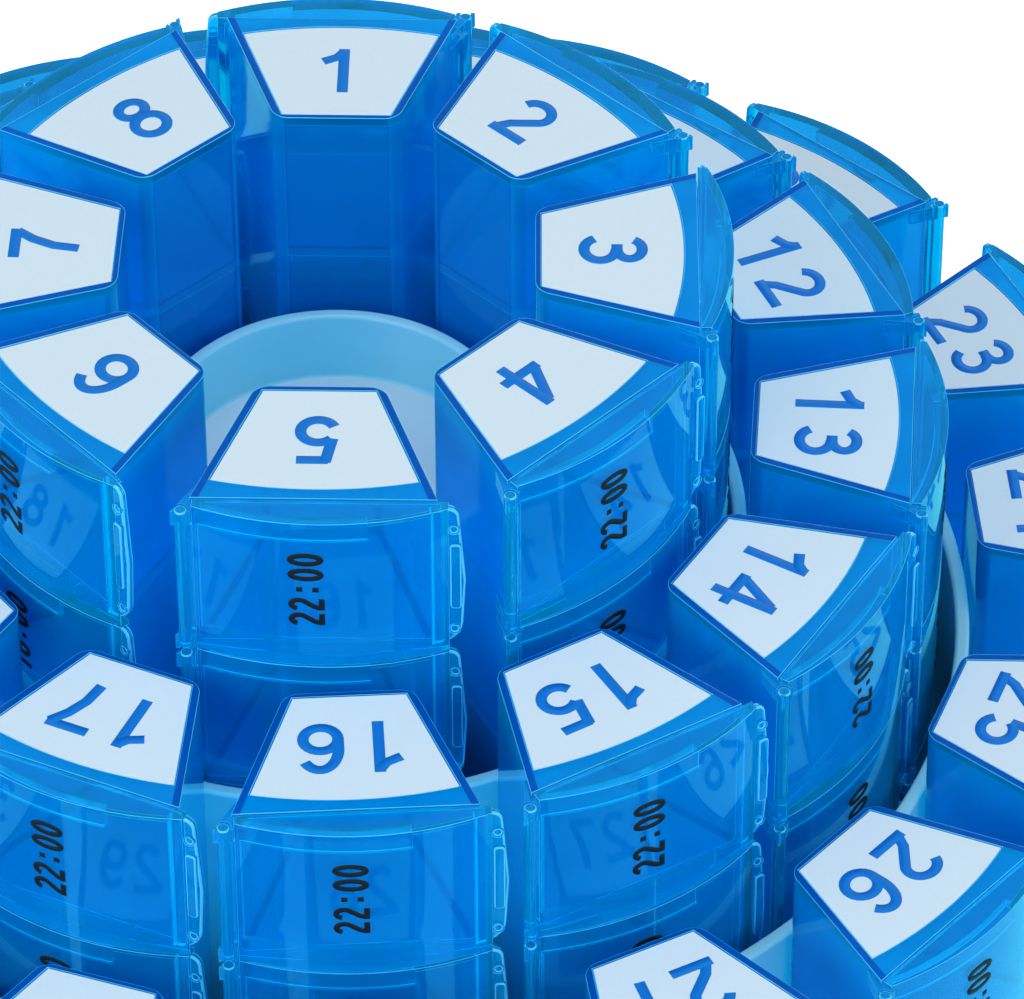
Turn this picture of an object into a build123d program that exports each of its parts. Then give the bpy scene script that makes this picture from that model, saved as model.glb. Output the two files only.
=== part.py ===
from build123d import *
from math import cos, pi, radians, sin, tan
import os

os.makedirs("parts", exist_ok=True)

# A tower of day stacks for one month. Three rings of like stacks stand in a stepped round stand.
# Everything is in millimetres. The tower's axis is Z, its foot is at Z = 0 and +X lies near day 24.

# Day stack: a tall wedge with one compartment above another, each closed by its own bowed door.
compartment_names = ["morning", "noon", "evening", "night"]  # from the bottom up
compartment_pitch = 25.2
case_depth = 21.8
case_inner_width = 16.8
case_front_width = 32.0
case_corner_radius = 1.8
case_wall = 1.1
case_top = 1.8

# Label card, let into the top of a stack.
card_depth = 17.4
card_bulge = 1.6
card_inset = 0.85
card_frame = 1.3
card_thickness = 0.4
card_recess = 0.5
card_clearance = 0.15
card_bed = 0.02

# Door: a shallow bowed tray, hinged on the left and pulled open by a tab on the right.
door_bow = 3.3
door_edge_depth = 1.5
door_gap = 0.15
door_wall = 1.0
door_left_inset = 0.3
door_right_reach = 1.4
door_height_gap = 0.2
tab_reach = 2.2
tab_root = 2.5
tab_thickness = 1.0
tab_head_corner = 1.2
tab_foot_corner = 3.0
tab_foot_gap = 1.4

# Hinge: a pin moulded along the door's left edge, whose ends snap into two hooked ears of the case.
pin_forward = 1.6
pin_radius = 0.85
pin_end = 0.5
pin_clearance = 0.06
web_end = 3.0
web_thickness = 0.7
ear_wall = 0.4
ear_lip = 0.3
ear_mouth = 1.4
ear_clearance = 0.19
ear_height = 2.4
ear_gap = 0.3
ear_root = 2.8

# Stand: an outer tray, two stepped wells and a centre column with a dish.
tray_floor = 4.0
middle_step = 25.6
top_step = 27.0
stand_wall = 2.0
well_floor = 2.4
wall_clearance = 0.4
side_clearance = 0.25
column_clearance = 2.6
column_below_top = 32.0
dish_depth = 11.0
dish_wall = 1.8
centre_well_height = 53.0
middle_well_height = 62.0
outer_rim_height = 10.0

# Rings from the centre out: seats, room in front of the doors, and where one day of the ring stands.
first_face_radius = 27.7
ring_seats = [8, 13, 16]
door_clearance = [0.6, 2.4, 0.9]
ring_key_day = [5, 15, 26]
ring_key_angle = [-93.2, -61.1, -43.4]
days_in_month = 31

# The stacks stand loosely, so some are turned a little off the middle of their seat, in degrees.
seat_drift = {2: 2.0, 3: 1.0, 4: 1.5, 6: -2.5, 7: -1.0, 8: -1.0, 23: -1.2, 24: 0.6, 25: -1.8, 27: 1.5}

# Compartments whose door swings on its hinge, by day and counted from 0 at the bottom. In the stand the inner
# rings can open only their top door, and the tray's rim stops the lowest door of the outer ring.
top_door = [3]
upper_doors = [1, 2, 3]
swinging_doors = {5: top_door, 15: top_door, 16: top_door, 26: upper_doors}

# Worked out from the sizes above.
compartment_count = len(compartment_names)
stack_height = compartment_count * compartment_pitch
ring_floor = [tray_floor + middle_step + top_step, tray_floor + middle_step, tray_floor]
tower_height = ring_floor[0] + stack_height
seat_depth = case_depth + door_edge_depth + door_bow
door_height = compartment_pitch - 2 * door_height_gap
door_back = case_depth + door_gap
door_edge = case_depth + door_edge_depth
door_peak = door_edge + door_bow
door_left = -case_front_width / 2 + door_left_inset
door_right = case_front_width / 2 + door_right_reach
door_middle = (door_left + door_right) / 2
bore_radius = pin_radius + pin_clearance
pin_x = case_depth + pin_forward
pin_y = door_left - ear_clearance - ear_lip - bore_radius
side_slope = (case_front_width - case_inner_width) / 2 / case_depth

# Radius of the stacks' inner faces: each ring clears the wall round the ring inside it, and its tabs clear the
# stacks beside them.
ring_face_radius = [first_face_radius]
for seats, clearance in zip(ring_seats[1:], door_clearance):
    behind_wall = ring_face_radius[-1] + seat_depth + clearance + stand_wall + wall_clearance
    beside_tabs = (door_right + tab_reach + side_clearance) / tan(pi / seats) - door_edge
    ring_face_radius.append(max(behind_wall, beside_tabs))


def side_at(x):
    """Half the width of a case at the depth x from its inner face."""
    return case_inner_width / 2 + side_slope * x


def first_day(ring):
    """Number of the stack on the first seat of a ring."""
    return 1 + sum(ring_seats[:ring])


def seat_angle(ring, day):
    """Direction of a stack about the tower's axis. The days run clockwise, seen from above."""
    middle = ring_key_angle[ring] - (day - ring_key_day[ring]) * 360 / ring_seats[ring]
    return middle + seat_drift.get(day, 0)


def seat_place(ring, day):
    """The frame of a stack on its seat, with X outwards and Z up from the floor."""
    angle = seat_angle(ring, day)
    x = ring_face_radius[ring] * cos(radians(angle))
    y = ring_face_radius[ring] * sin(radians(angle))
    return Location((x, y, ring_floor[ring]), (0, 0, angle))


def stack_name(day):
    """The outer ring has more seats than the month has days left, and its last stacks are spare ones."""
    if day <= days_in_month:
        return f"day_{day:02d}"
    return f"spare_{day - days_in_month}"


# Label card: a wedge with a bowed outer edge, in the frame of its stack. On the closed stacks, of which there
# are many, the outer edge is straight.
card_outer = card_inset + card_depth
with BuildPart() as label_card:
    with BuildSketch(Plane.XY.offset(stack_height - card_recess + card_bed)):
        with BuildLine():
            outer_left = (card_outer, card_frame - side_at(card_outer))
            outer_right = (card_outer, side_at(card_outer) - card_frame)
            inner_left = (card_inset, card_frame - side_at(card_inset))
            inner_right = (card_inset, side_at(card_inset) - card_frame)
            Polyline(outer_left, inner_left, inner_right, outer_right)
            ThreePointArc(outer_left, (card_outer + card_bulge, 0), outer_right)
        make_face()
    extrude(amount=card_thickness)
with BuildPart() as plain_card:
    with BuildSketch(Plane.XY.offset(stack_height - card_recess + card_bed)):
        Polygon(outer_left, inner_left, inner_right, outer_right, align=None)
    extrude(amount=card_thickness)

# Shell of a case: the wedge with its open-fronted compartments and the recess for the card.
with BuildPart() as case_shell:
    with BuildSketch():
        Polygon(
            (0, -side_at(0)),
            (case_depth, -side_at(case_depth)),
            (case_depth, side_at(case_depth)),
            (0, side_at(0)),
            align=None,
        )
        fillet(vertices().group_by(Axis.X)[0], radius=case_corner_radius)
    extrude(amount=stack_height)
    for level in range(compartment_count):
        roof = case_top if level == compartment_count - 1 else 0
        with BuildSketch(Plane.XY.offset(level * compartment_pitch + case_wall)):
            Polygon(
                (case_wall, -side_at(case_wall) + case_wall),
                (case_depth, -side_at(case_depth) + case_wall),
                (case_depth, side_at(case_depth) - case_wall),
                (case_wall, side_at(case_wall) - case_wall),
                align=None,
            )
        extrude(amount=compartment_pitch - case_wall - roof, mode=Mode.SUBTRACT)
    with BuildSketch(Plane.XY.offset(stack_height - card_recess)):
        add(label_card.faces().sort_by(Axis.Z)[-1].moved(Location((0, 0, -card_bed - card_thickness))))
        offset(amount=card_clearance, kind=Kind.INTERSECTION)
    extrude(amount=card_recess, mode=Mode.SUBTRACT)

# Closed stack: the wedge and the bowed fronts of its doors, with no compartments cut into it.
with BuildPart() as closed_stack:
    with BuildSketch():
        with BuildLine():
            Polyline(
                (door_edge, door_left),
                (case_depth, door_left),
                (case_depth, -side_at(case_depth)),
                (0, -side_at(0)),
                (0, side_at(0)),
                (case_depth, side_at(case_depth)),
                (case_depth, door_right),
                (door_edge, door_right),
            )
            ThreePointArc((door_edge, door_left), (door_peak, door_middle), (door_edge, door_right))
        make_face()
    extrude(amount=stack_height - card_recess)

# Ears of one compartment: two hooks on the front left edge of the case. Each mouth is narrower than the pin.
with BuildPart() as hinge_ears:
    ear_back = case_depth - ear_root
    ear_left = pin_y - bore_radius - ear_wall
    ear_right = pin_y + bore_radius + ear_lip
    for ear_foot in (
        door_height_gap + web_end - ear_gap - ear_height,
        compartment_pitch - door_height_gap - web_end + ear_gap,
    ):
        with BuildSketch(Plane.XY.offset(ear_foot)):
            Polygon(
                (ear_back, -side_at(ear_back) + case_wall / 2),
                (case_depth, ear_right),
                (pin_x, ear_right),
                (pin_x + bore_radius, pin_y + ear_mouth / 2 + ear_lip),
                (pin_x + bore_radius, ear_left),
                (pin_x - bore_radius, ear_left),
                (ear_back, -side_at(ear_back) - case_wall / 2),
                align=None,
            )
            with Locations((pin_x, pin_y)):
                Circle(bore_radius, mode=Mode.SUBTRACT)
            Polygon(
                (pin_x, pin_y - bore_radius),
                (pin_x + bore_radius, pin_y - ear_mouth / 2),
                (pin_x + bore_radius, pin_y + ear_mouth / 2),
                (pin_x, pin_y + bore_radius),
                align=None,
                mode=Mode.SUBTRACT,
            )
        extrude(amount=ear_height)

# Tray of a door: bowed outside, hollow behind, with a flange above and below.
with BuildPart() as door_tray:
    with BuildSketch(Plane.XY.offset(door_height_gap)):
        with BuildLine():
            Polyline((door_edge, door_left), (door_back, door_left), (door_back, door_right), (door_edge, door_right))
            ThreePointArc((door_edge, door_left), (door_peak, door_middle), (door_edge, door_right))
        make_face()
    extrude(amount=door_height)
    with BuildSketch(Plane.XY.offset(door_height_gap + door_wall)):
        with BuildLine():
            hollow_left = (door_back, door_left + door_wall)
            hollow_right = (door_back, door_right - door_wall)
            Line(hollow_left, hollow_right)
            ThreePointArc(hollow_left, (door_peak - door_wall, door_middle), hollow_right)
        make_face()
    extrude(amount=door_height - 2 * door_wall, mode=Mode.SUBTRACT)

# Swinging door: the tray, a flat pull tab beyond its right edge, and the pin with its web on the left.
with BuildPart() as swinging_door:
    add(door_tray.part)
    with BuildSketch(Plane.YZ.offset(door_edge - tab_thickness)):
        tab_foot = door_height_gap + tab_foot_gap
        tab_head = door_height_gap + door_height
        Polygon(
            (door_right - tab_root, tab_foot),
            (door_right + tab_reach - tab_foot_corner, tab_foot),
            (door_right + tab_reach, tab_foot + tab_foot_corner),
            (door_right + tab_reach, tab_head - tab_head_corner),
            (door_right + tab_reach - tab_head_corner, tab_head),
            (door_right - tab_root, tab_head),
            align=None,
        )
    extrude(amount=tab_thickness)
    with BuildSketch(Plane.XY.offset(door_height_gap + web_end)):
        Polygon(
            (door_edge, pin_y),
            (door_edge, door_left + door_wall),
            (door_edge - web_thickness, door_left + door_wall),
            (door_edge - web_thickness, pin_y),
            align=None,
        )
    extrude(amount=door_height - 2 * web_end)
    with BuildSketch(Plane.XY.offset(door_height_gap + pin_end)):
        with Locations((pin_x, pin_y)):
            Circle(pin_radius)
    extrude(amount=door_height - 2 * pin_end)

# Lower doors that stay shut, in one bowed front, by how many compartments it covers.
lower_fronts = {}
for closed_count in {compartment_count - len(levels) for levels in swinging_doors.values()}:
    with BuildPart() as lower_front:
        with BuildSketch(Plane.XY.offset(door_height_gap)):
            with BuildLine():
                Polyline(
                    (door_edge, door_left), (door_back, door_left), (door_back, door_right), (door_edge, door_right)
                )
                ThreePointArc((door_edge, door_left), (door_peak, door_middle), (door_edge, door_right))
            make_face()
        extrude(amount=closed_count * compartment_pitch - 2 * door_height_gap)
    lower_fronts[closed_count] = lower_front.part


def place_node(node_name, solids, place):
    """Write pieces of one stack, moved to its seat, as one node."""
    with BuildPart() as node:
        with Locations(place):
            for solid in solids:
                add(solid)
    node.part.label = node_name
    export_step(node.part, f"parts/{node_name}.step")


# Stacks on their seats. Those with swinging doors are taken apart into a case, a card and doors.
for ring, seats in enumerate(ring_seats):
    for day in range(first_day(ring), first_day(ring) + seats):
        place = seat_place(ring, day)
        name = stack_name(day)
        if day not in swinging_doors:
            place_node(f"{name}_stack", [closed_stack.part, plain_card.part], place)
            continue
        levels = swinging_doors[day]
        with BuildPart() as eared_case:
            add(case_shell.part)
            for level in levels:
                with Locations((0, 0, level * compartment_pitch)):
                    add(hinge_ears.part)
        place_node(f"{name}_case", [eared_case.part], place)
        place_node(f"{name}_card", [label_card.part], place)
        place_node(f"{name}_lower_doors", [lower_fronts[compartment_count - len(levels)]], place)
        for level in levels:
            lifted = place * Location((0, 0, level * compartment_pitch))
            place_node(f"{name}_{compartment_names[level]}_door", [swinging_door.part], lifted)

# Outer tray: a floor with a low rim.
tray_inner = ring_face_radius[2] + seat_depth + door_clearance[2]
tray_outer = tray_inner + stand_wall
with BuildPart() as outer_tray:
    with BuildSketch(Plane.XZ):
        with BuildLine():
            Polyline(
                (0, 0),
                (tray_outer, 0),
                (tray_outer, tray_floor + outer_rim_height),
                (tray_inner, tray_floor + outer_rim_height),
                (tray_inner, tray_floor),
                (0, tray_floor),
                close=True,
            )
        make_face()
    revolve(axis=Axis.Z)

# Middle well: a wall round the middle ring, and a floor inside it, open below.
middle_outer = ring_face_radius[2] - wall_clearance
middle_inner = middle_outer - stand_wall
with BuildPart() as middle_well:
    with BuildSketch(Plane.XZ):
        with BuildLine():
            Polyline(
                (0, ring_floor[1] - well_floor),
                (middle_inner, ring_floor[1] - well_floor),
                (middle_inner, ring_floor[2]),
                (middle_outer, ring_floor[2]),
                (middle_outer, ring_floor[1] + middle_well_height),
                (middle_inner, ring_floor[1] + middle_well_height),
                (middle_inner, ring_floor[1]),
                (0, ring_floor[1]),
                close=True,
            )
        make_face()
    revolve(axis=Axis.Z)

# Centre well: a wall round the inner ring, its floor, and a hollow column in the middle with a dish on top.
centre_outer = ring_face_radius[1] - wall_clearance
centre_inner = centre_outer - stand_wall
column_outer = ring_face_radius[0] - column_clearance
column_inner = column_outer - dish_wall
column_top = tower_height - column_below_top
with BuildPart() as centre_well:
    with BuildSketch(Plane.XZ):
        with BuildLine():
            Polyline(
                (0, column_top - dish_depth - dish_wall),
                (column_inner, column_top - dish_depth - dish_wall),
                (column_inner, ring_floor[0] - well_floor),
                (centre_inner, ring_floor[0] - well_floor),
                (centre_inner, ring_floor[1]),
                (centre_outer, ring_floor[1]),
                (centre_outer, ring_floor[0] + centre_well_height),
                (centre_inner, ring_floor[0] + centre_well_height),
                (centre_inner, ring_floor[0]),
                (column_outer, ring_floor[0]),
                (column_outer, column_top),
                (column_inner, column_top),
                (column_inner, column_top - dish_depth),
                (0, column_top - dish_depth),
                close=True,
            )
        make_face()
    revolve(axis=Axis.Z)

for node_name, tier in (("outer_tray", outer_tray), ("middle_well", middle_well), ("centre_well", centre_well)):
    tier.part.label = node_name
    export_step(tier.part, f"parts/{node_name}.step")
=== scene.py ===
from math import atan2, cos, dist, pi, radians, sin

import bpy
from mathutils import Matrix, Vector


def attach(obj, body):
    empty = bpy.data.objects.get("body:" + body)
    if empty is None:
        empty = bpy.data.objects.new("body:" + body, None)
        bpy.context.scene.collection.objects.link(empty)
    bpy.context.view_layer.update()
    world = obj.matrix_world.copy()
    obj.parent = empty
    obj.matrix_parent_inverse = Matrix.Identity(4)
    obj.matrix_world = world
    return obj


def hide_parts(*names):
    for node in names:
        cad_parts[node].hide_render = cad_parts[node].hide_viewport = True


# Monthly pill organizer: 37 clear blue day stacks in a stepped round stand. Sizes are in
# millimetres, in the frame of one stack: X outwards, Y to the right seen from outside, Z up from
# the stack's foot.
MM = 0.001

# Day stack: a case with four compartments, one above the other.
compartment_pitch = 25.2
compartments = 4
case_depth = 21.8
case_inner_width = 16.8
case_front_width = 32.0
case_corner_radius = 1.8
case_edge_radius = 0.26
case_wall = 1.1
case_top = 1.8
room_corner_radius = 0.8
room_floor_radius = 0.7
stack_height = compartments * compartment_pitch

# Number card in the top of a stack, and what is printed on cards and doors. The widths and the
# weight of a digit are in heights of a digit.
card_inset = 0.85
card_depth = 17.4
card_frame = 1.3
card_bulge = 1.6
card_recess = 0.5
card_thickness = 0.4
card_bed = 0.02
card_clearance = 0.15
card_edge_radius = 0.05
numeral_height = 9.4
numeral_place = 10.4
numeral_stretch = 1.08
hour_height = 4.8
hour_stretch = 0.68
hour_rise = 1.0
hour_shift = -1.0
digit_width = 0.62
digit_advance = 0.8
digit_weight = 0.16
arc_steps = 24
ink_depth = 0.03
ink_layer = 0.004

# Door: a bowed tray.
door_left = -15.7
door_right = 17.4
door_back = 21.95
door_edge = 23.3
door_bow = 3.3
door_wall = 1.0
door_edge_radius = 0.3
door_height_gap = 0.2
door_height = compartment_pitch - 2 * door_height_gap
door_foot = door_height_gap
door_head = door_height_gap + door_height
door_middle = (door_left + door_right) / 2
door_half_span = (door_right - door_left) / 2
door_bow_radius = (door_half_span**2 + door_bow**2) / (2 * door_bow)
door_bow_centre = door_edge + door_bow - door_bow_radius

# Sealing ribs on the inside of a door.
rib_root = 0.2
rib_reach = 0.9
rib_height = 2.8
rib_start = 0.6
rib_edge_radius = 0.25
lower_rib_bottom = door_foot + 0.6
lower_rib_right = 10.2
upper_rib_bottom = door_head - 3.6
upper_rib_right = 7.0

# Pull tab on the right of a door, with its grip and two round marks.
tab_reach = 2.2
tab_root = 2.5
tab_thickness = 1.0
tab_foot = door_foot + 1.0
tab_foot_taper = 0.6
tab_foot_radius = 3.6
tab_head_taper = 0.9
tab_head_radius = 1.3
tab_edge_radius = 0.3
grip_root = 0.3
grip_rise = 0.6
grip_left = door_right + 0.15
grip_right = door_right + 1.65
grip_foot = door_head - 17.0
grip_head = door_head - 5.8
grip_corner_radius = 0.5
grip_edge_radius = 0.2
mark_radius = 0.8
mark_height = 0.7
mark_root = 0.3
mark_rim = 0.28
mark_dip = 0.25
mark_place = door_right + 0.7
mark_levels = (door_head - 3.4, door_foot + 3.9)
mark_edge_radius = 0.08

# Hinge: a pin on the left of a door, in two hooked ears of the case.
pin_radius = 0.85
pin_x = 23.4
pin_y = -17.1
pin_end = 0.5
pin_edge_radius = 0.2
web_end = 3.0
web_thickness = 0.7
web_edge_radius = 0.15
bore_radius = 0.91
ear_lip = 0.3
ear_wall = 0.4
ear_mouth = 0.6
ear_height = 2.4
ear_gap = 0.3
ear_root = 2.8
ear_shoulder = 0.3
ear_edge_radius = 0.2

# Stand.
ring_floor = [56.6, 29.6, 4.0]
well_wall = 2.0
well_floor = 2.4
centre_well_radius = 56.9
centre_well_top = 109.6
middle_well_radius = 88.3
middle_well_top = 91.6
tray_radius = 118.2
tray_rim_top = 14.0
column_radius = 25.1
column_wall = 1.8
column_top = 125.4
dish_depth = 11.0
stand_edge_radius = 0.6

# Seats of the three rings, from the centre out. The drift is how far a stack stands turned on its
# seat, in degrees.
ring_seats = [8, 13, 16]
ring_face_radius = [27.7, 57.3, 88.7]
ring_key_day = [5, 15, 26]
ring_key_angle = [-93.2, -61.1, -43.4]
seat_drift = {
    2: 2.0,
    3: 1.0,
    4: 1.5,
    6: -2.5,
    7: -1.0,
    8: -1.0,
    23: -1.2,
    24: 0.6,
    25: -1.8,
    27: 1.5,
}
days_in_month = 31
level_names = ["morning", "noon", "evening", "night"]
level_hours = ["08:00", "12:00", "18:00", "22:00"]
swinging_doors = {5: [3], 15: [3], 16: [3], 26: [1, 2, 3]}

# Round forms are made with this many flat sides.
stand_sides = 192
bow_sides = 256
card_bow_sides = 384
pin_sides = 32
small_sides = 24

# A cutter reaches this far past what it cuts.
overshoot = 1

# Faces and edges are picked by where they are and how they lie: this near to a place, this far
# along an axis, or with this much of an axis in the normal.
near = 0.1
along = 0.5
facing = 0.9

# Angles between two faces, in degrees: an edge is rounded past the first, and what is left is
# shaded smooth below the second.
sharp_angle = 35
smooth_angle = 40

# Patterns, from one patch to the next. The tooth of card and the mottle of ink are really about a
# tenth of a millimetre. They are drawn coarser, so that they show.
tint_cloud = 11.1
flow_mark = 4.55
card_tooth = 0.4
ink_mottle = 0.67
milky_cloud = 25.0
paper_swell = 16.7

# Camera, in metres: it stands well back and looks down on the near side of the tower.
camera_place = Vector((0.0, -0.73277, 0.77905))
camera_aim = Vector((0.02378, -0.02052, 0.13))
camera_roll = -0.214
camera_lens = 252.4
camera_sensor = 36.0

# Soft lamps round the tower: place and size in metres, power in watts.
lamp_aim = Vector((0, 0, 0.1))
lamps = {
    "key_lamp": ((-0.8, -1.0, 0.8), 0.7, 7.0),
    "fill_lamp": ((0.9, -1.1, 0.75), 0.8, 6.0),
    "left_lamp": ((-1.2, -0.3, 0.45), 0.6, 4.0),
    "right_lamp": ((1.2, -0.3, 0.45), 0.6, 4.0),
    "top_lamp": ((0.0, -0.1, 1.6), 0.5, 4.5),
    "back_lamp": ((0.4, 1.3, 0.4), 0.7, 4.0),
}

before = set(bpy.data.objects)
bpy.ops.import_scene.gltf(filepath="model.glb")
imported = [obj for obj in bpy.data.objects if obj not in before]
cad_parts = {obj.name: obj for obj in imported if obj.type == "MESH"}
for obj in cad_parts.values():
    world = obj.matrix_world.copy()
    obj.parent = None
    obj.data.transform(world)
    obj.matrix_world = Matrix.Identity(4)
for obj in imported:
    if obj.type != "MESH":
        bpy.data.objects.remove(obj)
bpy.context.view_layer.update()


# Modelling helpers


def select_only(piece):
    """Make one object the only one selected, and active."""
    bpy.ops.object.select_all(action="DESELECT")
    piece.select_set(True)
    bpy.context.view_layer.objects.active = piece


def settle(piece):
    """Move an object's place, turn and scale into its mesh."""
    select_only(piece)
    bpy.ops.object.transform_apply(location=True, rotation=True, scale=True)
    return piece


def block(name, low, high):
    """A box between two corners, in millimetres."""
    low, high = Vector(low) * MM, Vector(high) * MM
    bpy.ops.object.select_all(action="DESELECT")
    bpy.ops.mesh.primitive_cube_add(size=1, location=(low + high) / 2)
    piece = bpy.context.object
    piece.name = name
    piece.scale = high - low
    return settle(piece)


def upright_cylinder(name, radius, x, y, bottom, top, sides):
    """A cylinder along Z, in millimetres."""
    bpy.ops.object.select_all(action="DESELECT")
    bpy.ops.mesh.primitive_cylinder_add(
        vertices=sides,
        radius=radius * MM,
        depth=(top - bottom) * MM,
        location=(x * MM, y * MM, (bottom + top) / 2 * MM),
    )
    piece = bpy.context.object
    piece.name = name
    return settle(piece)


def open_edit(piece):
    """Open a piece in edit mode with all of it selected."""
    select_only(piece)
    bpy.ops.object.mode_set(mode="EDIT")
    bpy.ops.mesh.select_all(action="SELECT")


def close_edit():
    """Go back from edit mode."""
    bpy.ops.object.mode_set(mode="OBJECT")


def clear_selection(piece, kind):
    """Select nothing in a piece, and set its edit mode to faces or edges."""
    select_only(piece)
    bpy.ops.object.mode_set(mode="EDIT")
    bpy.ops.mesh.select_mode(type=kind)
    bpy.ops.mesh.select_all(action="DESELECT")
    bpy.ops.object.mode_set(mode="OBJECT")


def pick_faces(piece, wanted):
    """Open a piece with the faces selected whose centre, in millimetres, and normal are wanted."""
    clear_selection(piece, "FACE")
    for face in piece.data.polygons:
        face.select = wanted(face.center / MM, face.normal)
    bpy.ops.object.mode_set(mode="EDIT")


def pick_edges(piece, wanted):
    """Open a piece with the edges selected whose middle and span, in millimetres, are wanted."""
    clear_selection(piece, "EDGE")
    for edge in piece.data.edges:
        first, last = (piece.data.vertices[i].co / MM for i in edge.vertices)
        edge.select = wanted((first + last) / 2, last - first)
    bpy.ops.object.mode_set(mode="EDIT")


def cut_away(piece, point, normal):
    """Slice off what lies on the far side of a plane, and close the cut."""
    open_edit(piece)
    bpy.ops.mesh.bisect(
        plane_co=Vector(point) * MM,
        plane_no=normal,
        use_fill=True,
        clear_outer=True,
        threshold=1e-7,
    )
    close_edit()
    return piece


def score(piece, point, normal):
    """Divide the faces of a piece along a plane, and keep all of it."""
    open_edit(piece)
    bpy.ops.mesh.bisect(plane_co=Vector(point) * MM, plane_no=normal)
    close_edit()


def combine(piece, other, operation):
    """Unite, cut or intersect a piece with another one, which is used up."""
    select_only(piece)
    modifier = piece.modifiers.new("combine", "BOOLEAN")
    modifier.operation = operation
    modifier.solver = "EXACT"
    modifier.object = other
    bpy.ops.object.modifier_apply(modifier=modifier.name)
    bpy.data.objects.remove(other)
    return piece


def round_edges(piece, width, segments, edge_material=-1):
    """Round every sharp edge a little, as a mould does. Its material is -1 where it follows; the
    case, ears and door give the painted highlight's slot.
    """
    select_only(piece)
    modifier = piece.modifiers.new("round", "BEVEL")
    modifier.width = width * MM
    modifier.segments = segments
    modifier.limit_method = "ANGLE"
    modifier.angle_limit = radians(sharp_angle)
    modifier.material = edge_material
    bpy.ops.object.modifier_apply(modifier=modifier.name)
    return piece


def smooth_shading(piece):
    """Shade rounded edges smoothly and keep the large faces flat."""
    select_only(piece)
    bpy.ops.object.shade_smooth_by_angle(angle=radians(smooth_angle))
    modifier = piece.modifiers.new("flatten", "WEIGHTED_NORMAL")
    modifier.keep_sharp = True
    bpy.ops.object.modifier_apply(modifier=modifier.name)
    return piece


def side_at(x):
    """Half the width of a case at the depth x from its inner face."""
    return case_inner_width / 2 + (case_front_width - case_inner_width) / 2 / case_depth * x


def wedge(name, back, front, margin, bottom, top):
    """A block whose sides keep a margin inside the sides of the case."""
    half_front = side_at(front) - margin
    half_back = side_at(back) - margin
    piece = block(name, (back, -half_front, bottom), (front, half_front, top))
    pick_faces(piece, lambda centre, normal: normal.x < -facing)
    bpy.ops.transform.resize(value=(1, half_back / half_front, 1))
    close_edit()
    return piece


def bowed_block(name, setback, left, right, bottom, top, back=door_back):
    """A block with a flat back whose front follows the door's bow, set back from it."""
    radius = door_bow_radius - setback
    piece = upright_cylinder(name, radius, door_bow_centre, door_middle, bottom, top, bow_sides)
    cut_away(piece, (back, 0, 0), (-1, 0, 0))
    cut_away(piece, (0, left, 0), (0, -1, 0))
    cut_away(piece, (0, right, 0), (0, 1, 0))
    return piece


# Materials


def linear(hex_colour):
    """Turn an sRGB hex colour into the linear values that a shader takes."""
    channels = [int(hex_colour[i : i + 2], 16) / 255 for i in (1, 3, 5)]
    return [c / 12.92 if c <= 0.04045 else ((c + 0.055) / 1.055) ** 2.4 for c in channels] + [1.0]


def add_node(material, kind, settings=None, inputs=None, links=None):
    """Add a node with its settings, its input values and the sockets that feed it."""
    node = material.node_tree.nodes.new(kind)
    for setting, value in (settings or {}).items():
        setattr(node, setting, value)
    for socket, value in (inputs or {}).items():
        node.inputs[socket].default_value = value
    for socket, source in (links or {}).items():
        material.node_tree.links.new(source, node.inputs[socket])
    return node


def new_material(name):
    """An empty node material."""
    material = bpy.data.materials.new(name)
    material.use_nodes = True
    material.node_tree.nodes.clear()
    return material


def set_shades(ramp, deep, light, margin=0.0):
    """Let a ramp run from a deep to a light colour, plain for a margin at both ends."""
    first, last = ramp.color_ramp.elements
    first.position, last.position = margin, 1.0 - margin
    first.color, last.color = linear(deep), linear(light)


def blue_when_mirrored(material, shade=None):
    """A pale surface's shade, or white, but blue to a ray that comes from a reflection.

    The real plastic mirrors from inside its tinted wall, so its mirror images are blue.
    """
    rays = add_node(material, "ShaderNodeLightPath")
    mixed = add_node(
        material,
        "ShaderNodeMix",
        {"data_type": "RGBA"},
        inputs={6: linear("#FFFFFF"), 7: linear("#84FFFF")},
        links={0: rays.outputs["Is Glossy Ray"]},
    )
    if shade:
        material.node_tree.links.new(shade.outputs["Color"], mixed.inputs[6])
    return mixed.outputs[2]


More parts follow.
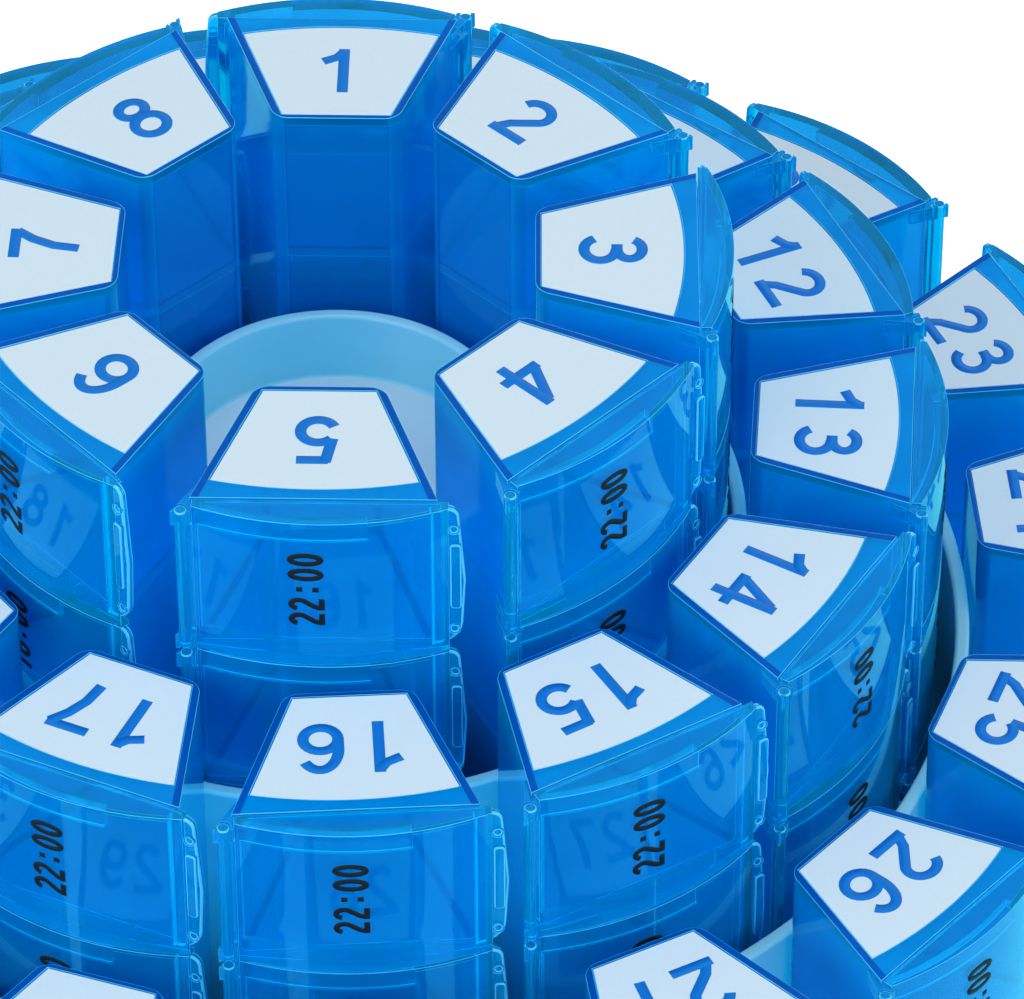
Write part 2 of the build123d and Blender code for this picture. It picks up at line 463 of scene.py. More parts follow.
def clear_tinted_polystyrene(name, deep, light, transmission, glint, gloss, roughness):
    """Injection-moulded clear polystyrene, tinted blue and glassy; its edges get a painted
    highlight.

    Slow clouds in the tint and faint flow marks in the gloss come from the moulding. Tinted light
    falls through it, so the closed compartments aren't black.
    """
    material = new_material(name)
    place = add_node(material, "ShaderNodeTexCoord")
    cloud = add_node(
        material,
        "ShaderNodeTexNoise",
        inputs={"Scale": 1 / (tint_cloud * MM), "Detail": 3.0},
        links={"Vector": place.outputs["Object"]},
    )
    tint = add_node(material, "ShaderNodeValToRGB", links={"Fac": cloud.outputs["Fac"]})
    set_shades(tint, deep, light, 0.3)
    flow = add_node(
        material,
        "ShaderNodeTexNoise",
        inputs={"Scale": 1 / (flow_mark * MM), "Detail": 2.0},
        links={"Vector": place.outputs["Object"]},
    )
    ripple = add_node(
        material,
        "ShaderNodeBump",
        inputs={"Strength": 0.02, "Distance": 0.2 * MM},
        links={"Height": flow.outputs["Fac"]},
    )
    plastic = add_node(
        material,
        "ShaderNodeBsdfPrincipled",
        inputs={
            "Roughness": roughness,
            "IOR": 1.59,
            "Specular IOR Level": gloss,
            "Specular Tint": linear(glint),
            "Transmission Weight": transmission,
        },
        links={"Base Color": tint.outputs["Color"], "Normal": ripple.outputs["Normal"]},
    )
    rays = add_node(material, "ShaderNodeLightPath")
    tinted_light = add_node(
        material, "ShaderNodeBsdfTransparent", inputs={"Color": linear("#78F0FA")}
    )
    surface = add_node(
        material,
        "ShaderNodeMixShader",
        links={
            0: rays.outputs["Is Shadow Ray"],
            1: plastic.outputs["BSDF"],
            2: tinted_light.outputs["BSDF"],
        },
    )
    add_node(material, "ShaderNodeOutputMaterial", links={"Surface": surface.outputs["Shader"]})
    return material


def laminated_card(name, deep, light):
    """White card under a matt film: even and pale, with a fine tooth and almost no gloss."""
    material = new_material(name)
    place = add_node(material, "ShaderNodeTexCoord")
    tooth = add_node(
        material,
        "ShaderNodeTexNoise",
        inputs={"Scale": 1 / (card_tooth * MM), "Detail": 4.0},
        links={"Vector": place.outputs["Object"]},
    )
    shade = add_node(material, "ShaderNodeValToRGB", links={"Fac": tooth.outputs["Fac"]})
    set_shades(shade, deep, light)
    relief = add_node(
        material,
        "ShaderNodeBump",
        inputs={"Strength": 0.1, "Distance": 0.05 * MM},
        links={"Height": tooth.outputs["Fac"]},
    )
    film = add_node(
        material,
        "ShaderNodeBsdfPrincipled",
        inputs={"Roughness": 0.75, "Specular IOR Level": 0.25},
        links={
            "Base Color": blue_when_mirrored(material, shade),
            "Normal": relief.outputs["Normal"],
        },
    )
    add_node(material, "ShaderNodeOutputMaterial", links={"Surface": film.outputs["BSDF"]})
    return material


def screen_printed_ink(name, colour):
    """Screen-printed ink: one flat colour, a little satin, in a faintly uneven film."""
    material = new_material(name)
    place = add_node(material, "ShaderNodeTexCoord")
    mottle = add_node(
        material,
        "ShaderNodeTexNoise",
        inputs={"Scale": 1 / (ink_mottle * MM), "Detail": 2.0},
        links={"Vector": place.outputs["Object"]},
    )
    relief = add_node(
        material,
        "ShaderNodeBump",
        inputs={"Strength": 0.05, "Distance": 0.03 * MM},
        links={"Height": mottle.outputs["Fac"]},
    )
    ink = add_node(
        material,
        "ShaderNodeBsdfPrincipled",
        inputs={"Base Color": linear(colour), "Roughness": 0.6, "Specular IOR Level": 0.15},
        links={"Normal": relief.outputs["Normal"]},
    )
    add_node(material, "ShaderNodeOutputMaterial", links={"Surface": ink.outputs["BSDF"]})
    return material


def frosted_polypropylene(name, deep, light):
    """Injection-moulded frosted polypropylene: milky and satin, with soft mould marks."""
    material = new_material(name)
    place = add_node(material, "ShaderNodeTexCoord")
    cloud = add_node(
        material,
        "ShaderNodeTexNoise",
        inputs={"Scale": 1 / (milky_cloud * MM), "Detail": 4.0},
        links={"Vector": place.outputs["Object"]},
    )
    tint = add_node(material, "ShaderNodeValToRGB", links={"Fac": cloud.outputs["Fac"]})
    set_shades(tint, deep, light, 0.3)
    relief = add_node(
        material,
        "ShaderNodeBump",
        inputs={"Strength": 0.08, "Distance": 0.3 * MM},
        links={"Height": cloud.outputs["Fac"]},
    )
    plastic = add_node(
        material,
        "ShaderNodeBsdfPrincipled",
        inputs={"Roughness": 0.35, "IOR": 1.49, "Transmission Weight": 0.15},
        links={
            "Base Color": blue_when_mirrored(material, tint),
            "Normal": relief.outputs["Normal"],
        },
    )
    add_node(material, "ShaderNodeOutputMaterial", links={"Surface": plastic.outputs["BSDF"]})
    return material


# One blue polystyrene: thin doors are the clearest, walls seen through each other are deep.
# The other copies paint light and shade on it: painted shade on the back wall, the rims round the
# card and the rooms' rounded corners, painted light on the door's top, its thick spots and the
# ears, and a painted highlight on rounded edges.
wall_polystyrene = clear_tinted_polystyrene(
    "moulded_polystyrene_wall",
    deep="#00A8E8",
    light="#00B2F0",
    transmission=0.6,
    glint="#0090F0",
    gloss=0.06,
    roughness=0.08,
)
# Painted shade: a deeper copy for the case's inner face and the rooms' back walls.
painted_shade_back_polystyrene = clear_tinted_polystyrene(
    "moulded_polystyrene_painted_shade_back",
    deep="#0098DC",
    light="#00A0E4",
    transmission=0.7,
    glint="#0090F0",
    gloss=0.15,
    roughness=0.06,
)
door_polystyrene = clear_tinted_polystyrene(
    "moulded_polystyrene_door",
    deep="#00C2F0",
    light="#00CCF6",
    transmission=0.88,
    glint="#0098F4",
    gloss=0.3,
    roughness=0.04,
)
# Painted highlight: a lighter, glossier copy that the rounded edges of the case, ears and door
# wear.
painted_highlight_polystyrene = clear_tinted_polystyrene(
    "moulded_polystyrene_painted_highlight",
    deep="#50C8F4",
    light="#60D4FC",
    transmission=0.2,
    glint="#C0F0FF",
    gloss=0.5,
    roughness=0.1,
)
# Painted shade: a dark copy for the wall tops round the card and the rooms' rounded corners and
# floor edges.
painted_shade_rim_polystyrene = clear_tinted_polystyrene(
    "moulded_polystyrene_painted_shade_rim",
    deep="#0058B8",
    light="#0060C0",
    transmission=0.4,
    glint="#0090F0",
    gloss=0.15,
    roughness=0.1,
)
# Painted light: a lighter copy for the door's top face, its ribs, tab, grip, pin, web and marks,
# and the hinge ears.
painted_light_polystyrene = clear_tinted_polystyrene(
    "moulded_polystyrene_painted_light",
    deep="#00B0E6",
    light="#00BAEE",
    transmission=0.75,
    glint="#40B8F8",
    gloss=0.3,
    roughness=0.08,
)
card_white = laminated_card("matt_laminated_card", "#CADDEA", "#D2E4EF")
numeral_ink = screen_printed_ink("screen_printed_blue_ink", "#0672CC")
hour_ink = screen_printed_ink("screen_printed_black_ink", "#101820")
# The stand's pale cyan is painted blue light, for the light that reaches it through the blue
# stacks all round it. The dish floor in the middle keeps its own near-white.
stand_painted_blue_polypropylene = frosted_polypropylene("moulded_frosted_polypropylene", "#A8E0EE", "#B4E8F4")
dish_polypropylene = frosted_polypropylene(
    "moulded_frosted_polypropylene_dish", "#DCE8F2", "#E4EEF6"
)

# Materials of the case, the door and the stand, and their places in each.
case_materials = (
    wall_polystyrene,
    painted_highlight_polystyrene,
    painted_shade_rim_polystyrene,
    painted_shade_back_polystyrene,
    painted_light_polystyrene,
)
wall_shade, painted_highlight_slot, painted_shade_rim_slot, painted_shade_back_slot, ear_painted_light_slot = range(5)
door_materials = (door_polystyrene, painted_highlight_polystyrene, painted_light_polystyrene)
door_painted_light_slot = 2
stand_materials = (stand_painted_blue_polypropylene, dish_polypropylene)


def dress(piece, *materials):
    """Give a piece its materials, the first all over."""
    piece.data.materials.clear()
    for material in materials:
        piece.data.materials.append(material)
    return piece


def shade_all(piece, shade):
    """Give every face of a piece one of its materials."""
    for face in piece.data.polygons:
        face.material_index = shade
    return piece


# One stack, modelled once


def make_case():
    """A tall wedge with four open-fronted rooms, hinge ears, and a recess for the card."""
    case = wedge("case", 0, case_depth, 0, 0, stack_height)
    dress(case, *case_materials)
    pick_edges(case, lambda middle, span: middle.x < near and abs(span.z) > along)
    bpy.ops.mesh.bevel(offset=case_corner_radius * MM, segments=6)
    close_edit()
    for level in range(compartments):
        combine(case, make_room(level), "DIFFERENCE")
    recess = card_plate(
        "recess", card_clearance, stack_height - card_recess, stack_height + overshoot
    )
    combine(case, recess, "DIFFERENCE")
    # The rounded edges take the painted highlight.
    round_edges(case, case_edge_radius, 2, painted_highlight_slot)
    for level in range(compartments):
        for ear_foot in (
            door_height_gap + web_end - ear_gap - ear_height,
            compartment_pitch - door_height_gap - web_end + ear_gap,
        ):
            combine(case, make_ear(level * compartment_pitch + ear_foot), "UNION")
    shade_case(case)
    return smooth_shading(case)


def make_room(level):
    """The cutter of a compartment, with painted shade on its rounded corners, floor edges and
    back.
    """
    floor = level * compartment_pitch + case_wall
    roof = (level + 1) * compartment_pitch - (case_top if level == compartments - 1 else 0)
    room = wedge("room", case_wall, case_depth + overshoot, case_wall, floor, roof)
    pick_edges(room, lambda middle, span: middle.x < case_wall + near and abs(span.z) > along)
    bpy.ops.mesh.bevel(offset=room_corner_radius * MM, segments=4)
    close_edit()
    pick_edges(room, lambda middle, span: middle.z < floor + near and middle.x < case_depth)
    bpy.ops.mesh.bevel(offset=room_floor_radius * MM, segments=3)
    close_edit()
    dress(room, *case_materials)
    for face in room.data.polygons:
        # A flat side has 0.94 of Y in its normal, the back none, and the floor all of -Z.
        # Painted shade: the rounded faces get the dark rim copy, the back face the deeper back
        # copy.
        rounded = 0.1 < abs(face.normal.y) < 0.93 or -0.98 < face.normal.z < -0.02
        faces_back = face.normal.x < -facing
        face.material_index = painted_shade_rim_slot if rounded else painted_shade_back_slot if faces_back else wall_shade
    return room


def make_ear(foot):
    """A hook beside the front left edge that holds one end of a door's pin."""
    back = case_depth - ear_root
    left = pin_y - bore_radius - ear_wall
    right = pin_y + bore_radius + ear_lip
    ear = block("ear", (back, left, foot), (pin_x + ear_mouth, right, foot + ear_height))
    for edge_y, back_y in (
        (right, -side_at(back) + case_wall / 2),
        (left, -side_at(back) - ear_shoulder),
    ):
        pick_edges(
            ear,
            lambda middle, span: abs(span.z) > along
            and middle.x < back + near
            and abs(middle.y - edge_y) < near,
        )
        bpy.ops.transform.translate(value=(0, (back_y - edge_y) * MM, 0))
        close_edit()
    bore_foot, bore_head = foot - overshoot, foot + ear_height + overshoot
    bore = upright_cylinder("bore", bore_radius, pin_x, pin_y, bore_foot, bore_head, small_sides)
    combine(ear, bore, "DIFFERENCE")
    dress(ear, *case_materials)
    # The ear is dressed in painted light, with a painted highlight on its rounded edges.
    return round_edges(shade_all(ear, ear_painted_light_slot), ear_edge_radius, 2, painted_highlight_slot)


def shade_case(case):
    """Paint shade: a dark frame on the wall tops round the card, the back copy on the inner face.
    """
    flare = atan2(case_front_width - case_inner_width, 2 * case_depth)
    score(case, (case_wall, 0, 0), (1, 0, 0))
    score(case, (0, case_wall - side_at(0), 0), (-sin(flare), -cos(flare), 0))
    score(case, (0, side_at(0) - case_wall, 0), (-sin(flare), cos(flare), 0))
    for face in case.data.polygons:
        if face.material_index != wall_shade:
            continue
        spot = face.center / MM
        over_wall = spot.x < case_wall or abs(spot.y) > side_at(spot.x) - case_wall
        if face.normal.z > facing and spot.z > stack_height - near and over_wall:
            face.material_index = painted_shade_rim_slot
        if face.normal.x < -facing and spot.x < near:
            face.material_index = painted_shade_back_slot


def card_plate(name, margin, bottom, top):
    """A wedge with a bowed outer edge, larger than the card by a margin."""
    outer = card_inset + card_depth
    half_outer = side_at(outer) - card_frame
    bow_radius = (half_outer**2 + card_bulge**2) / (2 * card_bulge)
    bow_centre = outer + card_bulge - bow_radius
    far = outer + card_bulge + overshoot
    plate = wedge(name, card_inset - margin, far, card_frame - margin, bottom, top)
    foot, head = bottom - overshoot, top + overshoot
    rounding = upright_cylinder(
        "rounding", bow_radius + margin, bow_centre, 0, foot, head, card_bow_sides
    )
    return combine(plate, rounding, "INTERSECT")


def make_card():
    """The white card, which lies in the recess on a hair of glue."""
    bottom = stack_height - card_recess + card_bed
    card = card_plate("card", 0, bottom, bottom + card_thickness)
    dress(card, card_white)
    return smooth_shading(round_edges(card, card_edge_radius, 2))


def make_door():
    """A thin bowed tray with ribs inside, a pull tab on the right and a pin on the left."""
    door = bowed_block("door", 0, door_left, door_right, door_foot, door_head)
    dress(door, *door_materials)
    hollow = bowed_block(
        "hollow",
        door_wall,
        door_left + door_wall,
        door_right - door_wall,
        door_foot + door_wall,
        door_head - door_wall,
    )
    combine(door, hollow, "DIFFERENCE")
    # The rounded edges take the painted highlight.
    round_edges(door, door_edge_radius, 3, painted_highlight_slot)
    for bottom, right in (
        (lower_rib_bottom, lower_rib_right),
        (upper_rib_bottom, upper_rib_right),
    ):
        combine(door, fit_thick(make_rib(bottom, right), rib_edge_radius), "UNION")
    combine(door, fit_thick(make_tab(), tab_edge_radius), "UNION")
    combine(door, fit_thick(make_grip(), grip_edge_radius), "UNION")
    web = block(
        "web",
        (door_edge - web_thickness, pin_y, door_foot + web_end),
        (door_edge, door_left + door_wall, door_head - web_end),
    )
    combine(door, fit_thick(web, web_edge_radius), "UNION")
    pin_foot, pin_head = door_foot + pin_end, door_head - pin_end
    pin = upright_cylinder("pin", pin_radius, pin_x, pin_y, pin_foot, pin_head, pin_sides)
    combine(door, fit_thick(pin, pin_edge_radius), "UNION")
    for height in mark_levels:
        combine(door, fit_thick(make_mark(height), mark_edge_radius), "UNION")
    # Painted light: the door's top face takes the lighter copy.
    for face in door.data.polygons:
        on_top = face.normal.z > facing and face.center.z / MM > door_head - near
        if face.material_index == wall_shade and on_top:
            face.material_index = door_painted_light_slot
    return smooth_shading(door)


def fit_thick(piece, edge_radius):
    """Dress a thick spot of the door in the lighter blue of painted light and round its edges."""
    dress(piece, *door_materials)
    return round_edges(shade_all(piece, door_painted_light_slot), edge_radius, 2, painted_highlight_slot)


def make_rib(bottom, right):
    """A raised strip along the inside of the door's bow."""
    top = bottom + rib_height
    rib = bowed_block("rib", door_wall - rib_root, door_left + rib_start, right, bottom, top)
    slot = bowed_block(
        "slot",
        door_wall + rib_reach,
        door_left,
        right + overshoot,
        bottom - overshoot,
        top + overshoot,
        back=door_back - overshoot,
    )
    return combine(rib, slot, "DIFFERENCE")


def make_tab():
    """A flat plate past the door's right edge, with a tight upper corner and a wide lower one."""
    tab = block(
        "tab",
        (door_edge - tab_thickness, door_right - tab_root, tab_foot),
        (door_edge, door_right + tab_reach, door_head),
    )
    score(tab, (0, 0, (door_foot + door_head) / 2), (0, 0, 1))
    for height, taper, radius, segments in (
        (door_head, tab_head_taper, tab_head_radius, 6),
        (tab_foot, tab_foot_taper, tab_foot_radius, 8),
    ):
        pick_edges(
            tab,
            lambda middle, span: abs(span.x) > along
            and middle.y > door_right
            and abs(middle.z - height) < near,
        )
        bpy.ops.transform.translate(value=(0, -taper * MM, 0))
        bpy.ops.mesh.bevel(offset=radius * MM, segments=segments)
        close_edit()
    return tab


def make_grip():
    """A low raised bar on the tab for a fingernail."""
    grip = block(
        "grip",
        (door_edge - grip_root, grip_left, grip_foot),
        (door_edge + grip_rise, grip_right, grip_head),
    )
    pick_edges(grip, lambda middle, span: abs(span.x) > along)
    bpy.ops.mesh.bevel(offset=grip_corner_radius * MM, segments=4)
    close_edit()
    return grip


def make_mark(height):
    """A small round mark with a dished face."""
    mark = upright_cylinder("mark", mark_radius, 0, 0, 0, mark_height, small_sides)
    pick_faces(mark, lambda centre, normal: normal.z > facing)
    bpy.ops.mesh.inset(thickness=mark_rim * MM)
    bpy.ops.transform.translate(value=(0, 0, -mark_dip * MM))
    close_edit()
    mark.rotation_euler = (0, pi / 2, 0)
    mark.location = ((door_edge - mark_root) * MM, mark_place * MM, height * MM)
    return settle(mark)


# Printed digits, as strokes in heights of a digit


def arc(x, y, radius_x, radius_y, start, end):
    """Points along an ellipse between two angles in degrees."""
    turns = [radians(start + (end - start) * step / arc_steps) for step in range(arc_steps + 1)]
    return [(x + radius_x * cos(turn), y + radius_y * sin(turn)) for turn in turns]


six = [
    arc(0.31, 0.315, 0.225, 0.23, 90, 450),
    arc(0.33, 0.5, 0.245, 0.415, 38, 180) + [(0.086, 0.34)],
]
digit_strokes = {
    "0": [arc(0.31, 0.5, 0.225, 0.415, 90, 450)],
    "1": [[(0.37, 0), (0.37, 1)], [(0.37, 0.94), (0.28, 0.81), (0.09, 0.71)]],
    "2": [
        arc(0.31, 0.7, 0.225, 0.215, 165, -35) + [(0.36, 0.44), (0.2, 0.28), (0.11, 0.1)],
        [(0.02, 0.085), (0.61, 0.085)],
    ],
    "3": [
        arc(0.3, 0.735, 0.195, 0.18, 160, -90) + [(0.2, 0.555)],
        arc(0.3, 0.315, 0.225, 0.23, 90, -160),
    ],
    "4": [[(0.385, 0.92), (0.075, 0.3)], [(0.0, 0.285), (0.62, 0.285)], [(0.42, 0), (0.42, 1)]],
    "5": [
        [(0.15, 0.915), (0.56, 0.915)],
        [(0.19, 0.96), (0.11, 0.47)],
        arc(0.3, 0.32, 0.225, 0.235, 140, -155),
    ],
    "6": six,
    "7": [[(0.02, 0.915), (0.6, 0.915)], [(0.56, 0.9), (0.4, 0.66), (0.28, 0.36), (0.23, 0)]],
    "8": [arc(0.31, 0.74, 0.19, 0.175, 90, 450), arc(0.31, 0.31, 0.225, 0.225, 90, 450)],
    "9": [[(digit_width - x, 1 - y) for x, y in stroke] for stroke in six],
    ":": [[(0.31, 0.16), (0.31, 0.33)], [(0.31, 0.6), (0.31, 0.77)]],
}


def make_nib(half):
    """The flat outline that is drawn along each stroke of a digit."""
    bpy.ops.object.select_all(action="DESELECT")
    bpy.ops.curve.primitive_bezier_curve_add()
    nib = bpy.context.object
    nib.data.splines.clear()
    outline = nib.data.splines.new("POLY")
    corners = ((-half, -1), (half, -1), (half, 1), (-half, 1))
    outline.points.add(len(corners) - 1)
    for point, (across, up) in zip(outline.points, corners):
        point.co = (across * MM, up * ink_depth * MM, 0, 1)
    outline.use_cyclic_u = True
    return nib


def make_lettering(text, height, stretch):
    """A line of digits in flat strokes of ink, centred on the origin in the XY plane."""
    nib = make_nib(digit_weight * height / 2)
    bpy.ops.curve.primitive_bezier_curve_add()
    line = bpy.context.object
    line.data.splines.clear()
    line.data.bevel_mode = "OBJECT"
    line.data.bevel_object = nib
    line.data.use_fill_caps = True
    width = (len(text) - 1) * digit_advance + digit_width
    for place, character in enumerate(text):
        for layer, stroke in enumerate(digit_strokes[character]):
            looped = dist(stroke[0], stroke[-1]) < 1e-6
            points = stroke[:-1] if looped else stroke
            spline = line.data.splines.new("POLY")
            spline.points.add(len(points) - 1)
            for point, (x, y) in zip(spline.points, points):
                across = (x + place * digit_advance - width / 2) * stretch * height
                up = (y - 0.5) * height
                point.co = (across * MM, up * MM, layer * ink_layer * MM, 1)
            spline.use_cyclic_u = looped
    select_only(line)
    bpy.ops.object.convert(target="MESH")
    bpy.data.objects.remove(nib)
    return line


def make_numeral(text):
    """A printed number on the card, with its top towards the front of the stack."""
    numeral = make_lettering(text, numeral_height, numeral_stretch)
    numeral.rotation_euler = (0, 0, -pi / 2)
    card_face = stack_height - card_recess + card_bed + card_thickness
    numeral.location = (numeral_place * MM, 0, card_face * MM)
    settle(numeral)
    return dress(numeral, numeral_ink)


def make_hour(level):
    """The hour of a compartment, printed up the middle of its door."""
    hour = make_lettering(level_hours[level], hour_height, hour_stretch)
    lean = atan2(hour_shift - door_middle, door_bow_radius)
    rise = (level + 0.5) * compartment_pitch + hour_rise
    up_the_door = Matrix(((0, 0, 1, 0), (0, -1, 0, 0), (1, 0, 0, 0), (0, 0, 0, 1)))
    hour.matrix_world = (
        Matrix.Translation(Vector((door_bow_centre, door_middle, rise)) * MM)
        @ Matrix.Rotation(lean, 4, "Z")
        @ Matrix.Translation((door_bow_radius * MM, 0, 0))
        @ up_the_door
    )
    settle(hour)
    return dress(hour, hour_ink)


# Stand


def step_up(inset, rise):
    """Inset the selected round face, then push it up or down."""
    bpy.ops.mesh.inset(thickness=inset * MM)
    bpy.ops.mesh.extrude_region_move(TRANSFORM_OT_translate={"value": (0, 0, rise * MM)})


def make_well(name, radius, bottom, top, floor):
    """A round wall round a floor part of the way up, left open in edit mode."""
    well = upright_cylinder(name, radius, 0, 0, bottom, top, stand_sides)
    pick_faces(well, lambda centre, normal: normal.z > facing)
    step_up(well_wall, floor - top)
    return well


def make_outer_tray():
    """The low tray under the outer ring."""
    tray = make_well("tray", tray_radius, 0, tray_rim_top, ring_floor[2])
    close_edit()
    return tray


def make_middle_well():
    """The well of the middle ring, hollow below its floor."""
    well = make_well(
        "middle_tier", middle_well_radius, ring_floor[2], middle_well_top, ring_floor[1]
    )
    close_edit()
    pick_faces(well, lambda centre, normal: normal.z < -facing)
    step_up(well_wall, ring_floor[1] - well_floor - ring_floor[2])
    close_edit()
    return well


def make_centre_well():
    """The well of the inner ring, with the column and its dish, hollow below."""
    well = make_well(
        "centre_tier", centre_well_radius, ring_floor[1], centre_well_top, ring_floor[0]
    )
    gap = centre_well_radius - well_wall - column_radius
    step_up(gap, column_top - ring_floor[0])
    step_up(column_wall, -dish_depth)
    close_edit()
    pick_faces(well, lambda centre, normal: normal.z < -facing)
    step_up(well_wall, ring_floor[0] - well_floor - ring_floor[1])
    step_up(gap + column_wall, column_top - dish_depth - column_wall - ring_floor[0] + well_floor)
    close_edit()
    return well


for node_name, tier in (
    ("outer_tray", make_outer_tray()),
    ("middle_well", make_middle_well()),
    ("centre_well", make_centre_well()),
):
    dress(tier, *stand_materials)
    smooth_shading(round_edges(tier, stand_edge_radius, 4))
    # The dish floor takes the near-white; every other face takes the stand's painted blue light.
    for face in tier.data.polygons:
        above_dish = face.center.z / MM - column_top + dish_depth
        face.material_index = int(face.normal.z > facing and abs(above_dish) < near)
    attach(tier, "stand")
    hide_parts(node_name)


# Stacks on their seats


def seat_place(ring, day):
    """The frame of a stack on its seat, in metres. The days run clockwise, seen from above."""
    seats_on = day - ring_key_day[ring]
    angle = ring_key_angle[ring] - seats_on * 360 / ring_seats[ring] + seat_drift.get(day, 0)
    turn = radians(angle)
    radius = ring_face_radius[ring] * MM
    spot = Vector((radius * cos(turn), radius * sin(turn), ring_floor[ring] * MM))
    return Matrix.Translation(spot) @ Matrix.Rotation(turn, 4, "Z")


def put(pattern, name, place, body, nodes):
    """Copy a pattern with its own mesh, move the mesh to its place and let it ride on a body."""
    piece = pattern.copy()
    piece.data = pattern.data.copy()
    piece.data.transform(place)
    piece.name = name
    bpy.context.scene.collection.objects.link(piece)
    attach(piece, body)
    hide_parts(*nodes)


case_pattern = make_case()
card_pattern = make_card()
door_pattern = make_door()
hour_patterns = [make_hour(level) for level in range(compartments)]

for ring, seats in enumerate(ring_seats):
    first_day = 1 + sum(ring_seats[:ring])
    for day in range(first_day, first_day + seats):
        spare = day > days_in_month
        stack = f"spare_{day - days_in_month}" if spare else f"day_{day:02d}"
        place = seat_place(ring, day)
        swinging = swinging_doors.get(day, [])
        if swinging:
            case_nodes, card_nodes = [f"{stack}_case"], [f"{stack}_card"]
            still_nodes = [f"{stack}_lower_doors"]
        else:
            case_nodes = card_nodes = still_nodes = [f"{stack}_stack"]
        put(case_pattern, f"{stack}_clear_case", place, stack, case_nodes)
        put(card_pattern, f"{stack}_number_card", place, stack, card_nodes)
        if not spare:
            numeral = make_numeral(str(day))
            put(numeral, f"{stack}_numeral", place, stack, [])
            bpy.data.objects.remove(numeral)
        for level in range(compartments):
            door_name = f"{stack}_{level_names[level]}"
            lifted = place @ Matrix.Translation((0, 0, level * compartment_pitch * MM))
            if level in swinging:
                body, nodes = f"{door_name}_door", [f"{door_name}_door"]
            else:
                body, nodes = stack, still_nodes
            put(door_pattern, f"{door_name}_bowed_door", lifted, body, nodes)
            put(hour_patterns[level], f"{door_name}_hour", place, body, [])

for pattern in [case_pattern, card_pattern, door_pattern, *hour_patterns]:
    bpy.data.objects.remove(pattern)


# Floor, lamps and camera


def seen_directly(material):
    """1 for rays that show a surface to the camera: straight, mirrored or through a wall."""
    rays = add_node(material, "ShaderNodeLightPath")
    seen = add_node(
        material,
        "ShaderNodeMath",
        {"operation": "MAXIMUM"},
        links={0: rays.outputs["Is Camera Ray"], 1: rays.outputs["Is Glossy Ray"]},
    )
    seen_through = add_node(
        material,
        "ShaderNodeMath",
        {"operation": "MAXIMUM"},
        links={0: seen.outputs["Value"], 1: rays.outputs["Is Transmission Ray"]},
    )
    return seen_through.outputs["Value"]


def white_paper(name, deep, light):
    """Wide roll of matt white paper: even and bright, with a slow swell and no shine."""
    material = new_material(name)
    place = add_node(material, "ShaderNodeTexCoord")
    swell = add_node(
        material,
        "ShaderNodeTexNoise",
        inputs={"Scale": 1 / (paper_swell * MM), "Detail": 2.0},
        links={"Vector": place.outputs["Object"]},
    )
    shade = add_node(material, "ShaderNodeValToRGB", links={"Fac": swell.outputs["Fac"]})
    set_shades(shade, deep, light)
    relief = add_node(
        material,
        "ShaderNodeBump",
        inputs={"Strength": 0.02, "Distance": 0.2 * MM},
        links={"Height": swell.outputs["Fac"]},
    )
    glow = add_node(
        material,
        "ShaderNodeMath",
        {"operation": "MULTIPLY"},
        inputs={1: 0.5},
        links={0: seen_directly(material)},
    )
    paper = add_node(
        material,
        "ShaderNodeBsdfPrincipled",
        inputs={"Roughness": 0.9, "Specular IOR Level": 0.0},
        links={
            "Base Color": blue_when_mirrored(material, shade),
            "Emission Color": blue_when_mirrored(material),
            "Emission Strength": glow.outputs["Value"],
            "Normal": relief.outputs["Normal"],
        },
    )
    add_node(material, "ShaderNodeOutputMaterial", links={"Surface": paper.outputs["BSDF"]})
    return material


def make_floor():
    """A plain white floor, 12 m wide, that the tower stands on."""
    bpy.ops.object.select_all(action="DESELECT")
    bpy.ops.mesh.primitive_plane_add(size=12)
    floor = bpy.context.object
    floor.name = "studio_floor"
    dress(floor, white_paper("matt_white_paper", "#F5F7F9", "#F7F9FB"))


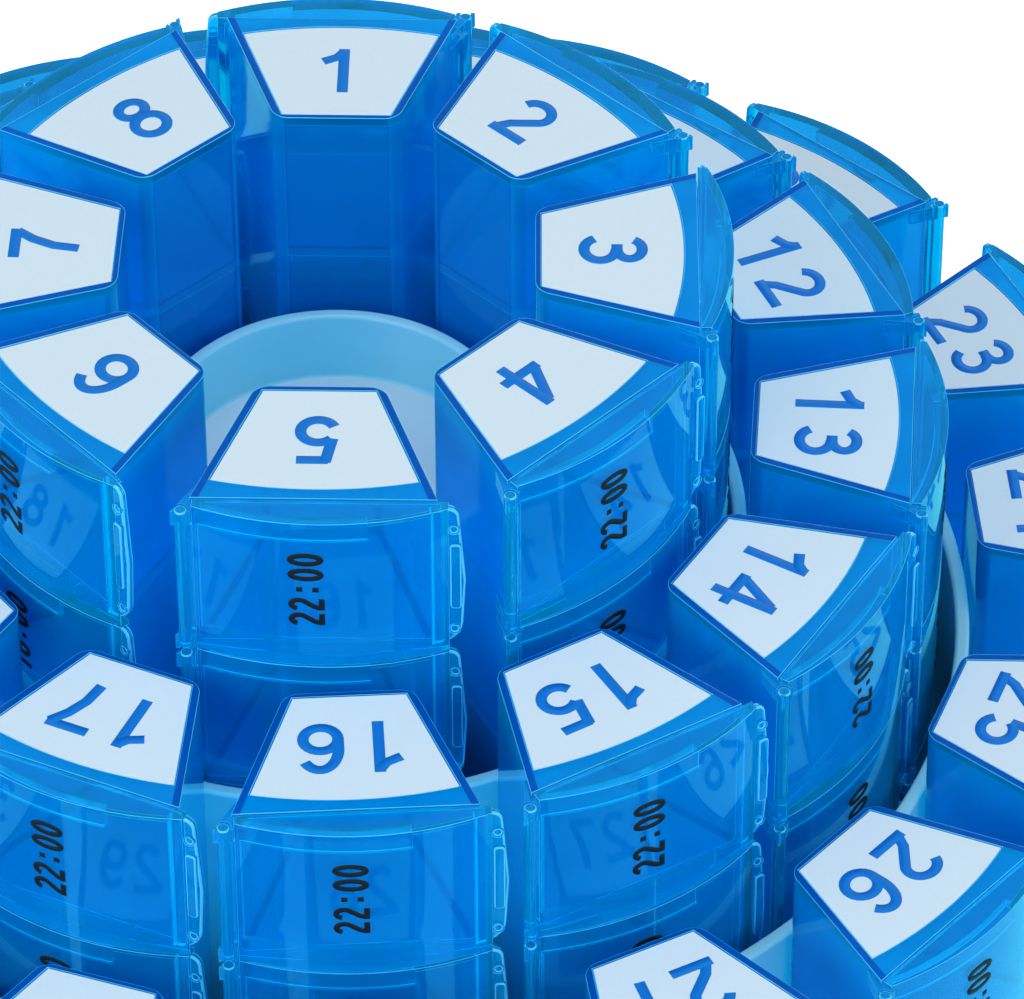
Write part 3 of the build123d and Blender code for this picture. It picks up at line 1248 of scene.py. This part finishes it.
def make_world():
    """White behind the tower, blue where the plastic mirrors it, and a softer grey as light."""
    world = bpy.data.worlds.new("studio")
    bpy.context.scene.world = world
    world.use_nodes = True
    world.node_tree.nodes.clear()
    light = add_node(
        world, "ShaderNodeBackground", inputs={"Color": linear("#EEF4FA"), "Strength": 0.46}
    )
    white = add_node(
        world, "ShaderNodeBackground", inputs={"Color": linear("#FFFFFF"), "Strength": 1.0}
    )
    gleam = add_node(
        world, "ShaderNodeBackground", inputs={"Color": linear("#B0EAFF"), "Strength": 1.0}
    )
    seen = add_node(
        world,
        "ShaderNodeMixShader",
        links={
            0: seen_directly(world),
            1: light.outputs["Background"],
            2: white.outputs["Background"],
        },
    )
    rays = add_node(world, "ShaderNodeLightPath")
    mirrored = add_node(
        world,
        "ShaderNodeMixShader",
        links={
            0: rays.outputs["Is Glossy Ray"],
            1: seen.outputs["Shader"],
            2: gleam.outputs["Background"],
        },
    )
    add_node(world, "ShaderNodeOutputWorld", links={"Surface": mirrored.outputs["Shader"]})


def make_lamp(name, place, size, power):
    """A soft square lamp turned towards the tower."""
    bpy.ops.object.select_all(action="DESELECT")
    bpy.ops.object.light_add(type="AREA", location=place)
    lamp = bpy.context.object
    lamp.name = name
    lamp.data.size = size
    lamp.data.energy = power
    lamp.rotation_euler = (lamp_aim - Vector(place)).to_track_quat("-Z", "Y").to_euler()


def make_camera():
    """A long lens at the photograph's viewing angle, rolled a little."""
    bpy.ops.object.select_all(action="DESELECT")
    bpy.ops.object.camera_add(location=camera_place)
    camera = bpy.context.object
    camera.data.lens = camera_lens
    camera.data.sensor_width = camera_sensor
    camera.data.clip_start = 0.01
    camera.data.clip_end = 50
    turn = (camera_aim - camera_place).to_track_quat("-Z", "Y")
    roll = Matrix.Rotation(radians(camera_roll), 4, "Z").to_quaternion()
    camera.rotation_mode = "QUATERNION"
    camera.rotation_quaternion = turn @ roll
    bpy.context.scene.camera = camera


make_floor()
make_world()
for lamp_name, (lamp_place, lamp_size, lamp_power) in lamps.items():
    make_lamp(lamp_name, lamp_place, lamp_size, lamp_power)
make_camera()
bpy.context.scene.view_settings.view_transform = "Standard"
